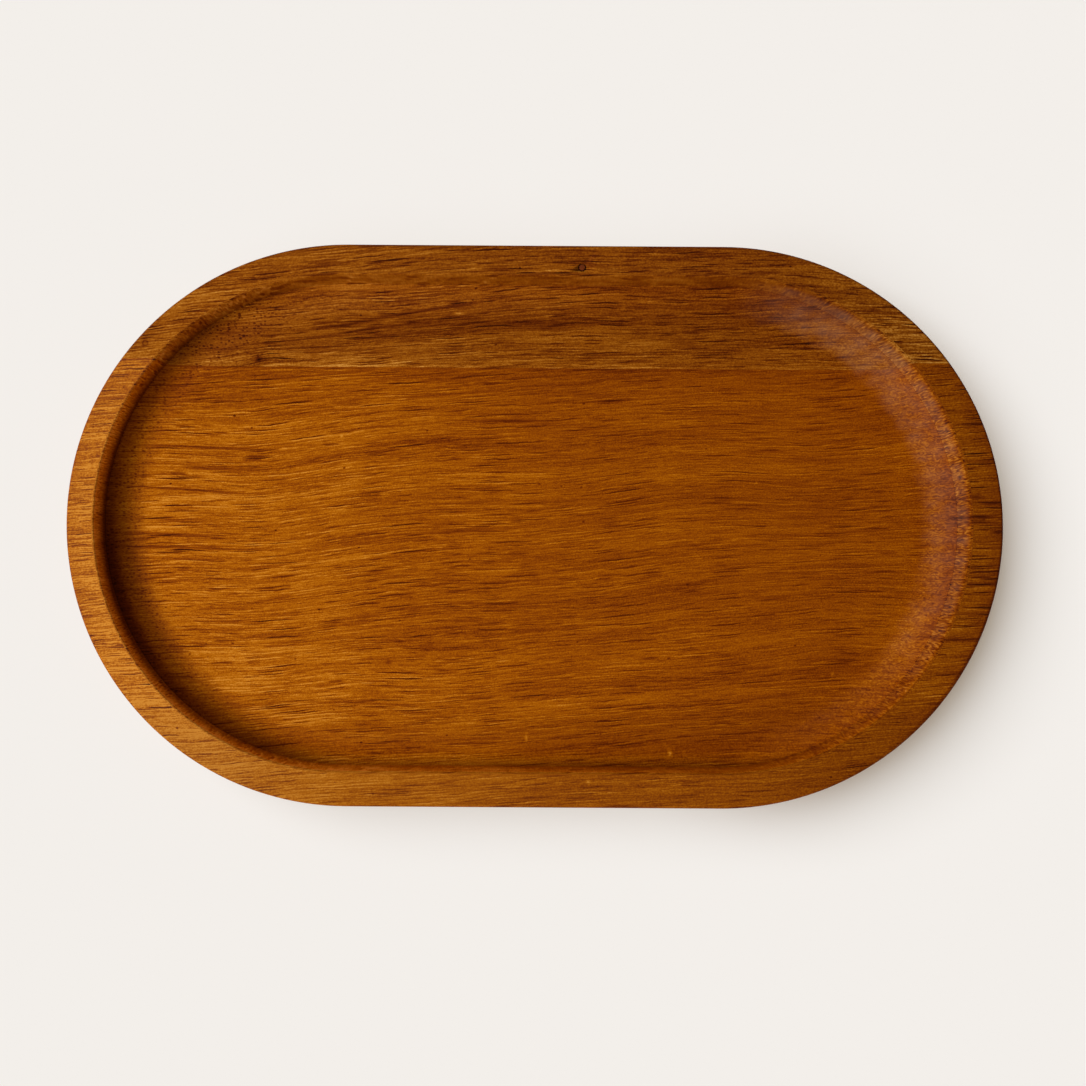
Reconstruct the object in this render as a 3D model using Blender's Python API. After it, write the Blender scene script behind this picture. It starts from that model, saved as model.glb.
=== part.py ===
"""Oval wooden tray with a dished recess, worked from a blank of two edge-glued boards.

Units are metres and +Z is up. The origin is the middle of the underside. X runs along the tray
and along the grain, and +Y is the rear.
"""

import math

import bmesh
import bpy

# Outer form: a stadium in plan, with half a circle at each end
TRAY_LENGTH = 0.300
TRAY_WIDTH = 0.180
TRAY_HEIGHT = 0.020
TOP_EDGE_RADIUS = 0.0010
BASE_EDGE_RADIUS = 0.0025

# Rim: its nominal width at the ends and along the sides, and how far off centre the recess was cut
END_RIM = 0.0096
SIDE_RIM = 0.0106
RECESS_OFF_LEFT = 0.00075
RECESS_OFF_REAR = 0.0008
INNER_EDGE_RADIUS = 0.0006

# Recess: a steep wall, a crease at its foot, and a shallow cove that runs out into the flat floor
RECESS_DEPTH = 0.0130
WALL_DRAFT_DEG = 2.0
COVE_RISE = 0.0026
COVE_REACH = 0.0108

# Boards: the glue line is straight and upright, and the front board takes the rest of the width
REAR_BOARD_WIDTH = 0.0370

# Plug: a round peg in a blind hole in the rear rim
PLUG_RADIUS = 0.0010
PLUG_CLEARANCE = 0.0003
PLUG_LENGTH = 0.0080
PLUG_RIGHT_OF_MIDDLE = 0.0146
PLUG_FROM_REAR_EDGE = 0.0071
PLUG_EDGE_RADIUS = 0.0001

# How finely round stretches are cut
TURN_STEPS = 48
BASE_EDGE_STEPS = 5
TOP_EDGE_STEPS = 4
INNER_EDGE_STEPS = 3
COVE_STEPS = 9
PLUG_SIDES = 24

# How far a cutter runs past the surface it opens, and how near two points are one point
CUT_OVERRUN = 0.001
SAME_POINT = 0.000001
SMOOTH_UNDER_DEG = 30.0

# Colour, roughness and metallic value of each sub-part's finish
REAR_WOOD = ((0.19, 0.058, 0.004), 0.48, 0.0)
FRONT_WOOD = ((0.25, 0.076, 0.004), 0.48, 0.0)
PLUG_WOOD = ((0.12, 0.026, 0.003), 0.55, 0.0)

GLUE_LINE_Y = TRAY_WIDTH / 2 - REAR_BOARD_WIDTH
FLOOR_Z = TRAY_HEIGHT - RECESS_DEPTH


def clear_scene():
    """Removes whatever the scene holds."""
    for obj in list(bpy.data.objects):
        bpy.data.objects.remove(obj)


def finish(name, look):
    """A Principled material from a colour, a roughness and a metallic value."""
    colour, roughness, metallic = look
    material = bpy.data.materials.new(name)
    material.use_nodes = True
    shader = material.node_tree.nodes["Principled BSDF"]
    shader.inputs["Base Color"].default_value = (*colour, 1.0)
    shader.inputs["Roughness"].default_value = roughness
    shader.inputs["Metallic"].default_value = metallic
    return material


def make_object(name, bm, material, parent):
    """Turns a bmesh into a named object with its own finish, shaded smooth on its round faces."""
    bmesh.ops.recalc_face_normals(bm, faces=bm.faces)
    mesh = bpy.data.meshes.new(name)
    bm.to_mesh(mesh)
    bm.free()
    mesh.materials.append(material)
    mesh.shade_smooth()
    mesh.set_sharp_from_angle(angle=math.radians(SMOOTH_UNDER_DEG))
    obj = bpy.data.objects.new(name, mesh)
    bpy.context.scene.collection.objects.link(obj)
    obj.parent = parent
    return obj


def arc(middle, radius, start_deg, end_deg, steps):
    """Points of a round stretch of a section, as (distance from the turn's axis, height)."""
    angles = [math.radians(start_deg + (end_deg - start_deg) * i / steps) for i in range(steps + 1)]
    return [(middle[0] + radius * math.cos(a), middle[1] + radius * math.sin(a)) for a in angles]


def outer_section(turn_radius):
    """From the underside, round the eased lower edge, up the side and over the eased upper edge."""
    base = (turn_radius - BASE_EDGE_RADIUS, BASE_EDGE_RADIUS)
    top = (turn_radius - TOP_EDGE_RADIUS, TRAY_HEIGHT - TOP_EDGE_RADIUS)
    lower = arc(base, BASE_EDGE_RADIUS, -90.0, 0.0, BASE_EDGE_STEPS)
    return lower + arc(top, TOP_EDGE_RADIUS, 0.0, 90.0, TOP_EDGE_STEPS)


def recess_section(turn_radius):
    """From the rim, over the inner edge, down the wall to the crease and along the cove."""
    edge = (turn_radius + INNER_EDGE_RADIUS, TRAY_HEIGHT - INNER_EDGE_RADIUS)
    over_edge = arc(edge, INNER_EDGE_RADIUS, 90.0, 180.0 - WALL_DRAFT_DEG, INNER_EDGE_STEPS)
    wall_top, wall_top_z = over_edge[-1]
    drop = wall_top_z - FLOOR_Z - COVE_RISE
    crease = wall_top - drop * math.tan(math.radians(WALL_DRAFT_DEG))
    cove_radius = (COVE_REACH**2 + COVE_RISE**2) / (2 * COVE_RISE)
    cove_deg = math.degrees(math.asin(COVE_REACH / cove_radius))
    cove_middle = (crease - COVE_REACH, FLOOR_Z + cove_radius)
    return over_edge + arc(cove_middle, cove_radius, cove_deg - 90.0, -90.0, COVE_STEPS)


def only(kind, items):
    """The items of one bmesh type."""
    return [item for item in items if isinstance(item, kind)]


def carry_round(bm, section, straight, middle_x, middle_y):
    """Carries a section once round a stadium: half a turn at each end, straight along each side."""
    start_x = middle_x + straight / 2
    verts = [bm.verts.new((start_x, middle_y - reach, height)) for reach, height in section]
    edges = [bm.edges.new(pair) for pair in zip(verts, verts[1:])]
    for side in (1, -1):
        turned = bmesh.ops.spin(
            bm,
            geom=verts + edges,
            cent=(middle_x + side * straight / 2, middle_y, 0.0),
            axis=(0.0, 0.0, 1.0),
            angle=math.pi,
            steps=TURN_STEPS,
        )
        last = only(bmesh.types.BMEdge, turned["geom_last"])
        run = bmesh.ops.extrude_edge_only(bm, edges=last)["geom"]
        verts = only(bmesh.types.BMVert, run)
        edges = [e for e in only(bmesh.types.BMEdge, run) if all(v in verts for v in e.verts)]
        bmesh.ops.translate(bm, verts=verts, vec=(-side * straight, 0.0, 0.0))
    bmesh.ops.remove_doubles(bm, verts=bm.verts, dist=SAME_POINT)


def open_edges(bm, height):
    """The open edges that lie at one height."""
    return [
        edge
        for edge in bm.edges
        if edge.is_boundary and all(abs(v.co.z - height) < SAME_POINT for v in edge.verts)
    ]


def blank():
    """The whole tray as one closed body, before it is parted along the glue line."""
    outer_turn = TRAY_WIDTH / 2
    recess_turn = outer_turn - SIDE_RIM
    recess_straight = TRAY_LENGTH - 2 * END_RIM - 2 * recess_turn
    bm = bmesh.new()
    carry_round(bm, outer_section(outer_turn), TRAY_LENGTH - TRAY_WIDTH, 0.0, 0.0)
    recess = recess_section(recess_turn)
    carry_round(bm, recess, recess_straight, -RECESS_OFF_LEFT, RECESS_OFF_REAR)
    bmesh.ops.bridge_loops(bm, edges=open_edges(bm, TRAY_HEIGHT))
    bmesh.ops.contextual_create(bm, geom=open_edges(bm, FLOOR_Z))
    bmesh.ops.contextual_create(bm, geom=open_edges(bm, 0.0))
    bmesh.ops.recalc_face_normals(bm, faces=bm.faces)
    return bm


def board(name, is_rear, look, parent):
    """One board of the blank: the tray on one side of the glue line, with a flat glued face."""
    bm = blank()
    cut = bmesh.ops.bisect_plane(
        bm,
        geom=bm.verts[:] + bm.edges[:] + bm.faces[:],
        dist=SAME_POINT,
        plane_co=(0.0, GLUE_LINE_Y, 0.0),
        plane_no=(0.0, 1.0, 0.0),
        clear_inner=is_rear,
        clear_outer=not is_rear,
    )
    for vert in only(bmesh.types.BMVert, cut["geom_cut"]):
        vert.co.y = GLUE_LINE_Y
    bmesh.ops.contextual_create(bm, geom=only(bmesh.types.BMEdge, cut["geom_cut"]))
    return make_object(name, bm, finish(name, look), parent)


def round_bar(radius, bottom, top):
    """An upright round bar on the Z axis."""
    bm = bmesh.new()
    bmesh.ops.create_cone(
        bm,
        cap_ends=True,
        segments=PLUG_SIDES,
        radius1=radius,
        radius2=radius,
        depth=top - bottom,
    )
    bmesh.ops.translate(bm, verts=bm.verts, vec=(0.0, 0.0, (top + bottom) / 2))
    return bm


def plug_place():
    """Where the plug's axis stands on the rear rim."""
    return (PLUG_RIGHT_OF_MIDDLE, TRAY_WIDTH / 2 - PLUG_FROM_REAR_EDGE, 0.0)


def drill_plug_hole(rear, parent):
    """Cuts the blind hole for the plug into the rear board."""
    hole = round_bar(PLUG_RADIUS + PLUG_CLEARANCE, TRAY_HEIGHT - PLUG_LENGTH, TRAY_HEIGHT + CUT_OVERRUN)
    cutter = make_object("plug_hole", hole, finish("plug_hole", PLUG_WOOD), parent)
    cutter.location = plug_place()
    cutter.hide_render = True
    cutter.display_type = "WIRE"
    cut = rear.modifiers.new("plug_hole", "BOOLEAN")
    cut.operation = "DIFFERENCE"
    cut.object = cutter


def plug(parent):
    """The plug: it stands on the floor of its hole and ends flush with the rim."""
    bm = round_bar(PLUG_RADIUS, TRAY_HEIGHT - PLUG_LENGTH, TRAY_HEIGHT)
    top = [e for e in bm.edges if all(abs(v.co.z - TRAY_HEIGHT) < SAME_POINT for v in e.verts)]
    bmesh.ops.bevel(bm, geom=top, offset=PLUG_EDGE_RADIUS, affect="EDGES", segments=2, profile=0.5)
    obj = make_object("rim_plug", bm, finish("rim_plug", PLUG_WOOD), parent)
    obj.location = plug_place()
    return obj


def main():
    """Builds the tray."""
    clear_scene()
    tray = bpy.data.objects.new("oval_tray", None)
    bpy.context.scene.collection.objects.link(tray)
    rear = board("rear_board", True, REAR_WOOD, tray)
    board("front_board", False, FRONT_WOOD, tray)
    drill_plug_hole(rear, tray)
    plug(tray)


if __name__ == "__main__":
    main()
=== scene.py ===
"""Looks of an oval wooden tray, worked from a blank of two edge-glued boards.

Metres throughout and +Z up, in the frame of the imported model: the origin is the middle of the
underside, X runs along the tray and along the grain, and +Y is the rear. The grain is worked out
in millimetres, because its pores and fibres are that size.
"""

import logging
import math
from dataclasses import dataclass, replace
from enum import Enum
from typing import Any, Callable, Sequence

import bmesh
import bpy
from bmesh.types import BMEdge, BMesh, BMVert
from bpy.types import ColorRamp, Material, Node, NodeSocket, NodeTree, Object
from mathutils import Matrix, Vector


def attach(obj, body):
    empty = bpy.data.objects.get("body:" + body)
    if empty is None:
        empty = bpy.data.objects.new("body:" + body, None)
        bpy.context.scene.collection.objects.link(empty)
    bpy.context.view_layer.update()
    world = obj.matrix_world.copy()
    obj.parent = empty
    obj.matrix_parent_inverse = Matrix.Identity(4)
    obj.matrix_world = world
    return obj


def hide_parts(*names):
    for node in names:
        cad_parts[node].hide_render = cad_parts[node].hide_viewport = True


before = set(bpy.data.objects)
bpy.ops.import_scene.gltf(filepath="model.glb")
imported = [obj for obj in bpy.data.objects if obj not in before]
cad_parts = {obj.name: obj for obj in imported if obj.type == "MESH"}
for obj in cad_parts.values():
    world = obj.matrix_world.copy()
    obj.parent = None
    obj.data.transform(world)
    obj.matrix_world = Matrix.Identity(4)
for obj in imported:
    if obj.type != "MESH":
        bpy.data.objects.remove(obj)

LOG = logging.getLogger("oval_tray")
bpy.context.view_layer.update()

MM = 0.001
PER_MM = 1000.0
SAME_POINT = 0.000001
HALF_TURN = math.pi
SMOOTH_UNDER_DEG = 32.0

Pair = tuple[float, float]
Stops = tuple[Pair, ...]
Colour = tuple[float, float, float]
ColourStops = Sequence[tuple[float, Sequence[float]]]


class Board(Enum):
    """The two boards of the blank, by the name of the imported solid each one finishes."""

    REAR = "rear_board"
    FRONT = "front_board"


# Sums of shader values


def joined(operation: str, swapped: bool = False) -> Callable[["Term", "Term | float"], "Term"]:
    """Makes a method of Term that joins two values with one Math node.

    Args:
        operation: the node's operation.
        swapped: whether the other value comes first.

    Returns:
        The method.
    """

    def method(term: "Term", other: "Term | float") -> "Term":
        """The two values joined."""
        first, second = (other, term) if swapped else (term, other)
        return term.graph.math(operation, first, second)

    return method


class Term:
    """A socket in a sum: an expression on terms adds the Math nodes that it needs."""

    def __init__(self, graph: "Graph", socket: NodeSocket) -> None:
        """Keeps the output socket that this term stands for, and its graph."""
        self.graph = graph
        self.socket = socket

    __add__, __radd__ = joined("ADD"), joined("ADD", swapped=True)
    __sub__, __rsub__ = joined("SUBTRACT"), joined("SUBTRACT", swapped=True)
    __mul__, __rmul__ = joined("MULTIPLY"), joined("MULTIPLY", swapped=True)
    __truediv__, __pow__ = joined("DIVIDE"), joined("POWER")
    at_least, at_most = joined("MAXIMUM"), joined("MINIMUM")

    def size(self) -> "Term":
        """The value without its sign."""
        return self.graph.math("ABSOLUTE", self, 0.0)

    def fold(self) -> "Term":
        """A wave that climbs from 0 to 0.5 and falls again once in every unit."""
        return self.graph.math("PINGPONG", self, 0.5)

    def hill(self, middle: float, width: float) -> "Term":
        """A bell of height 1 round one value, which has fallen to 0.61 a width away."""
        off = (self - middle) * (1.0 / width)
        return self.graph.math("EXPONENT", off * off * -0.5, 0.0)

    def step(self, start: float, end: float) -> "Term":
        """A smooth step from 0 to 1.

        Args:
            start: the value up to which the step is 0.
            end: the value from which it is 1. It may lie below start.

        Returns:
            The step's height.
        """
        sockets = {"Value": self, "From Min": min(start, end), "From Max": max(start, end)}
        settings = {"interpolation_type": "SMOOTHSTEP"}
        made = self.graph.term("ShaderNodeMapRange", "Result", settings, sockets)
        return made if start < end else 1.0 - made

    def fade(self, edge: float, reach: Pair) -> "Term":
        """A smooth step that starts and ends so far past an edge."""
        return self.step(edge + reach[0], edge + reach[1])


def diagonal(first: Term, second: Term) -> Term:
    """The distance that two steps at right angles cover."""
    return (first * first + second * second) ** 0.5


class Graph:
    """A material's node tree, with one method that adds any node."""

    def __init__(self, tree: NodeTree) -> None:
        """Keeps the tree to add to."""
        self.tree = tree

    def node(
        self,
        kind: str,
        settings: dict[str, Any] | None = None,
        sockets: dict[str | int, Any] | None = None,
    ) -> Node:
        """Adds a node, sets it up and feeds its sockets.

        Args:
            kind: the node's type.
            settings: its own settings, set first. "stops" holds a ramp's easing and its stops.
            sockets: a value, a term or another socket for each input, by name or number.

        Returns:
            The new node.
        """
        node = self.tree.nodes.new(kind)
        for name, value in (settings or {}).items():
            if name == "stops":
                self._set_stops(node.color_ramp, *value)
            else:
                setattr(node, name, value)
        for key, value in (sockets or {}).items():
            self.feed(node.inputs[key], value)
        return node

    def feed(self, socket: NodeSocket, value: Any) -> None:
        """Gives a socket a link or a constant.

        Args:
            socket: the input socket.
            value: a term or an output socket to link, or a number or numbers to set.
        """
        if isinstance(value, Term):
            value = value.socket
        if isinstance(value, NodeSocket):
            self.tree.links.new(value, socket)
        else:
            socket.default_value = value

    def term(self, kind: str, output: str | int, *rest: Any) -> Term:
        """Adds a node and takes one output, by name or number. The rest is as for a node."""
        return Term(self, self.node(kind, *rest).outputs[output])

    def math(self, operation: str, first: Any, second: Any) -> Term:
        """One Math node on two values."""
        return self.term("ShaderNodeMath", 0, {"operation": operation}, {0: first, 1: second})

    def _set_stops(self, ramp: ColorRamp, easing: str, stops: ColourStops) -> None:
        """Gives a ramp its stops.

        Args:
            ramp: the ramp.
            easing: how it runs between stops.
            stops: a position and a colour for each stop, in order.
        """
        ramp.interpolation = easing
        while len(ramp.elements) > 1:
            ramp.elements.remove(ramp.elements[-1])
        ramp.elements[0].position = stops[0][0]
        ramp.elements[0].color = (*stops[0][1], 1.0)
        for position, colour in stops[1:]:
            ramp.elements.new(position).color = (*colour, 1.0)

    def ramp(self, value: Term, stops: ColourStops, easing: str = "LINEAR") -> NodeSocket:
        """A colour that follows a value from 0 to 1 through stops."""
        settings = {"stops": (easing, stops)}
        return self.node("ShaderNodeValToRGB", settings, {"Fac": value}).outputs["Color"]

    def curve(self, value: Term, stops: Stops) -> Term:
        """A number that follows a value smoothly through stops.

        Args:
            value: the value that is followed.
            stops: a value and the number there, for each stop, in order.

        Returns:
            The number.
        """
        low, high = stops[0][0], stops[-1][0]
        top = max(number for _, number in stops)
        greys = [((at - low) / (high - low), (number / top,) * 3) for at, number in stops]
        colour = self.ramp((value - low) * (1.0 / (high - low)), greys, "EASE")
        return self.first_part(colour) * top

    def first_part(self, colour: NodeSocket) -> Term:
        """A colour's red part."""
        return self.term("ShaderNodeSeparateColor", 0, {}, {"Color": colour})

    def place(self) -> "Spot":
        """Finds the point on the object.

        Returns:
            The point, in millimetres.
        """
        where = self.scale(self.node("ShaderNodeTexCoord").outputs["Object"], PER_MM)
        parts = self.node("ShaderNodeSeparateXYZ", {}, {0: where}).outputs
        return Spot(self, *(Term(self, part) for part in parts))

    def scale(self, vector: NodeSocket, times: Any) -> NodeSocket:
        """A vector or colour made so many times as large."""
        settings = {"operation": "SCALE"}
        return self.node("ShaderNodeVectorMath", settings, {0: vector, "Scale": times}).outputs[0]

    def mix(self, share: Any, first: Any, second: Any) -> NodeSocket:
        """Mixes two colours, with so much of the second one."""
        settings = {"data_type": "RGBA", "clamp_factor": True}
        return self.node("ShaderNodeMix", settings, {0: share, 6: first, 7: second}).outputs[2]


@dataclass(frozen=True)
class Spot:
    """A point of an object in millimetres: along the grain, across it and up."""

    graph: Graph
    x: Term
    y: Term
    z: Term

    def at(self, sizes: Sequence[float], shifts: Sequence[float] = (0.0, 0.0, 0.0)) -> NodeSocket:
        """The point as the vector of a pattern.

        Args:
            sizes: how long, wide and high the pattern's cells are.
            shifts: how many cells the pattern is moved each way.

        Returns:
            The vector, in cells.
        """
        rows = zip((self.x, self.y, self.z), sizes, shifts)
        parts = [part / size + shift if shift else part / size for part, size, shift in rows]
        return self.graph.node("ShaderNodeCombineXYZ", {}, dict(enumerate(parts))).outputs[0]

    def mound(self, mark: "Mark") -> Term:
        """A bell of height 1 over one place."""
        return self.x.hill(mark.x, mark.reach_x) * self.y.hill(mark.y, mark.reach_y)

    def noise(
        self,
        sizes: Sequence[float],
        shifts: Sequence[float] = (0.0, 0.0, 0.0),
        detail: float = 0.0,
        roughness: float = 0.5,
    ) -> Term:
        """Soft noise.

        Args:
            sizes: how long, wide and high its cells are.
            shifts: how many cells it is moved each way.
            detail: how many finer layers it has.
            roughness: how much each finer layer counts.

        Returns:
            The noise, about -0.5 to 0.5.
        """
        sockets = {"Vector": self.at(sizes, shifts), "Scale": 1.0}
        sockets |= {"Detail": detail, "Roughness": roughness}
        made = self.graph.term("ShaderNodeTexNoise", 0, {"noise_dimensions": "3D"}, sockets)
        return made - 0.5


@dataclass(frozen=True)
class Sheen:
    """How rough and glossy a wood is beside its colour, with its relief's depth in millimetres."""

    relief: float
    depth: float
    gloss: float

    def finish(self, graph: Graph, shader: Node, colour: Any, roughness: Term, height: Term) -> None:
        """Feeds a wood's shader.

        Args:
            graph: the material's graph.
            shader: its shader.
            colour: the wood's colour.
            roughness: how rough it is.
            height: how far its surface stands up.
        """
        sockets = {"Strength": self.relief, "Distance": self.depth * MM, "Height": height}
        bump = graph.node("ShaderNodeBump", {}, sockets)
        graph.feed(shader.inputs["Base Color"], colour)
        graph.feed(shader.inputs["Roughness"], roughness)
        graph.feed(shader.inputs["Normal"], bump.outputs["Normal"])
        shader.inputs["Specular IOR Level"].default_value = self.gloss


def new_material(name: str) -> tuple[Material, Graph, Node]:
    """An empty material with one Principled shader.

    Args:
        name: the material's name.

    Returns:
        The material, its graph and its shader.
    """
    material = bpy.data.materials.new(name)
    material.use_nodes = True
    return material, Graph(material.node_tree), material.node_tree.nodes["Principled BSDF"]


# Wood


@dataclass(frozen=True)
class Fibres:
    """One soft layer of lighter and darker fibres, in millimetres."""

    long: float
    wide: float
    share: float


@dataclass(frozen=True)
class Streaks:
    """Dark streaks that wander and taper along the grain, in millimetres.

    They show where a noise falls below start, and are at their full depth below full. A light
    line of strength lip runs along the front of each, lip_ahead from it.
    """

    long: float
    wide: float
    start: float
    full: float
    depth: float
    lip: float
    seed: float
    lip_ahead: float = 0.38


@dataclass(frozen=True)
class Pores:
    """One family of pores: long narrow vessels along the grain, in millimetres.

    The smallest and the palest are these shares of the others. A pale line of strength lip runs
    along the front of each.
    """

    length: float
    width: float
    spread: float
    depth: float
    seed: float
    lip: float = 0.0
    smallest: float = 0.3
    palest: float = 0.4
    sharpness: float = 3.0
    climb: float = 0.03


@dataclass(frozen=True)
class Mark:
    """A small pale or dark place on the wood, or a swell of its grain, in millimetres.

    A ring has a radius, and a stroke that isn't level has a lean.
    """

    x: float
    y: float
    reach_x: float
    reach_y: float
    strength: float
    ring: float = 0.0
    lean: float = 0.0


@dataclass(frozen=True)
class Curls:
    """Curled dark and pale lines and dots where the cutter left the ends of the fibres showing.

    The last five say how much of them the parts of the recess have.
    """

    long: float = 3.0
    wide: float = 1.6
    turns: float = 4.8
    climb: float = 0.42
    dark: Pair = (0.18, 0.07)
    dark_share: float = 0.8
    pale: Pair = (0.30, 0.43)
    dots: Pores = Pores(0.66, 0.38, 1.8, 1.0, 9.1)
    corner: Mark = Mark(-98.0, 66.0, 15.0, 12.0, 2.0)
    depth: float = 0.26
    right_cove: float = 1.2
    right_wall: float = 1.9
    left_lines: float = 0.6
    left_dots: float = 2.0
    right_dots: float = 0.8


@dataclass(frozen=True)
class PaintedSheen:
    """Painted sheen: a pale patchy highlight at the recess's right end, in millimetres, and its
    colour.
    """

    start: float = 68.4
    width: float = 6.5
    patch: tuple[float, float, float] = (6.0, 4.0, 6.0)
    patchiness: float = 2.6
    ragged: float = 1.3
    thinnest: float = 0.25
    round_end: Pair = (0.05, 0.45)
    wall_foot: float = 0.8
    wall_loss: float = 1.7
    crease_loss: float = 0.3
    colour: tuple[float, float, float, float] = (0.50, 0.50, 0.42, 1.0)


@dataclass(frozen=True)
class Calm:
    """How much weaker the wood's lines are on some parts of the tray, as shares.

    The darkest is the least share of the tone that a line leaves.
    """

    wall: float = 0.35
    cove_at_ends: float = 0.45
    rim_at_right: float = 0.3
    darkest: float = 0.08


@dataclass(frozen=True)
class Fades:
    """Where each part of the tray's round fades in, in millimetres past an edge of it."""

    inside: Pair = (0.7, 0.5)
    rim: Pair = (-1.2, -0.2)
    wall_top: Pair = (-0.15, -0.65)
    wall_foot: Pair = (0.0, 0.5)
    low: Pair = (1.2, 0.4)
    cove: Pair = (-12.0, -6.5)
    cove_foot: Pair = (-5.0, -1.2)
    outer_side: Pair = (-0.15, -0.8)
    outer_rim: Pair = (3.5, 10.5)
    right_edge: Pair = (9.1, 9.8)
    left_cove_wider: float = 1.6
    crease: float = 0.9


@dataclass(frozen=True)
class Shades:
    """How much lighter or darker each part of the tray's round is than the flat, as shares.

    Most of them are painted light and shade. A climb is a share for each millimetre to the rear,
    or for the wall's whole height.
    """

    # Painted shade at the crease and on the outer side
    crease: float = -0.08
    outer_side: float = -0.30
    # The rim darker towards its outer edge, most at the ends
    outer_rim: float = -0.03
    outer_rim_at_end: float = -0.26
    # Painted shade on the outer edge of the right end's rim
    right_edge: float = -0.42
    # The darker colour of end grain
    end_grain: float = -0.20
    # Painted light on the right wall and cove, and painted shade at the foot of the right cove
    # towards the front
    right_wall: float = 0.42
    right_wall_rear: float = 0.25
    right_cove: float = 0.29
    right_cove_middle: float = -0.14
    right_cove_front: float = 0.14
    right_foot: float = -0.20
    # Painted shade in the left cove and at its foot, less towards the rear
    left_cove: float = -0.30
    left_cove_rear: float = 0.20
    left_foot: float = 0.45
    left_foot_climb: float = 0.0085
    left_foot_least: float = -0.08
    # Painted shade in the front cove and painted light at its foot
    front_cove: float = -0.14
    front_foot: float = 0.46
    # Painted light and shade on the walls: shade towards the foot of the left wall, light at its top
    # and on the front and rear walls
    left_wall: float = -1.34
    left_wall_climb: float = 3.6
    left_wall_to_rear: float = 0.0045
    left_wall_to_front: float = 0.006
    left_wall_least: float = -0.65
    left_wall_most: float = 1.7
    side_wall: float = 0.52
    front_wall: float = -0.30
    front_wall_climb: float = 1.8
    # A more golden colour on the front and right rim
    golden_front: float = 0.24
    golden_right: float = 0.38


@dataclass(frozen=True)
class TraySizes:
    """Sizes of the tray that its shape and its finish share, in metres, as the solids have them."""

    length: float = 0.300
    width: float = 0.180
    height: float = 0.020
    top_edge: float = 0.0010
    base_edge: float = 0.0025
    end_rim: float = 0.0096
    side_rim: float = 0.0106
    off_left: float = 0.00075
    off_rear: float = 0.0008
    inner_edge: float = 0.0006
    depth: float = 0.0130
    draft_deg: float = 2.0
    cove_rise: float = 0.0026
    cove_reach: float = 0.0108
    rear_board: float = 0.0370
    plug_radius: float = 0.0010
    plug_gap: float = 0.0003
    plug_length: float = 0.0080
    plug_x: float = 0.0146
    plug_from_rear: float = 0.0071
    plug_edge: float = 0.0001

    @property
    def outer_turn(self) -> float:
        """The radius of the tray's round ends."""
        return self.width / 2

    @property
    def outer_straight(self) -> float:
        """The length of the tray's straight sides."""
        return self.length - self.width

    @property
    def recess_turn(self) -> float:
        """The radius of the recess's round ends, at the rim."""
        return self.outer_turn - self.side_rim

    @property
    def recess_straight(self) -> float:
        """The length of the recess's straight sides."""
        return self.length - 2 * self.end_rim - 2 * self.recess_turn

    @property
    def recess_middle(self) -> Vector:
        """The middle of the recess."""
        return Vector((-self.off_left, self.off_rear, 0.0))

    @property
    def floor(self) -> float:
        """The height of the recess's floor."""
        return self.height - self.depth

    @property
    def wall_top(self) -> Pair:
        """Where the wall leaves the rounded inner edge.

        Returns:
            Its turn radius and its height there.
        """
        lean = math.radians(self.draft_deg)
        reach = self.recess_turn + self.inner_edge * (1 - math.cos(lean))
        return reach, self.height - self.inner_edge * (1 - math.sin(lean))

    @property
    def crease(self) -> Pair:
        """Where the foot of the wall meets the cove.

        Returns:
            The wall's turn radius and its height there.
        """
        reach, top = self.wall_top
        low = self.floor + self.cove_rise
        return reach - (top - low) * math.tan(math.radians(self.draft_deg)), low

    @property
    def glue_line(self) -> float:
        """How far to the rear the two boards meet."""
        return self.outer_turn - self.rear_board

    @property
    def plug_place(self) -> Vector:
        """The plug's axis."""
        return Vector((self.plug_x, self.outer_turn - self.plug_from_rear, 0.0))


TRAY = TraySizes()


@dataclass(frozen=True)
class RecessPlace:
    """Where a point of the tray lies in the round of its recess.

    left and right grow from 0 on the straight sides to 1 at the tip of each end. out is the
    distance from the middle of the turn in millimetres, and up_wall climbs from 0 to 1. The
    others are 1 on the part that they name.
    """

    left: Term
    right: Term
    out: Term
    on_rim: Term
    on_wall: Term
    up_wall: Term
    in_cove: Term
    cove_foot: Term
    at_crease: Term
    inside: Term
    outer_side: Term
    outer_rim: Term
    right_edge: Term
    front: Term
    rear: Term


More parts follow.
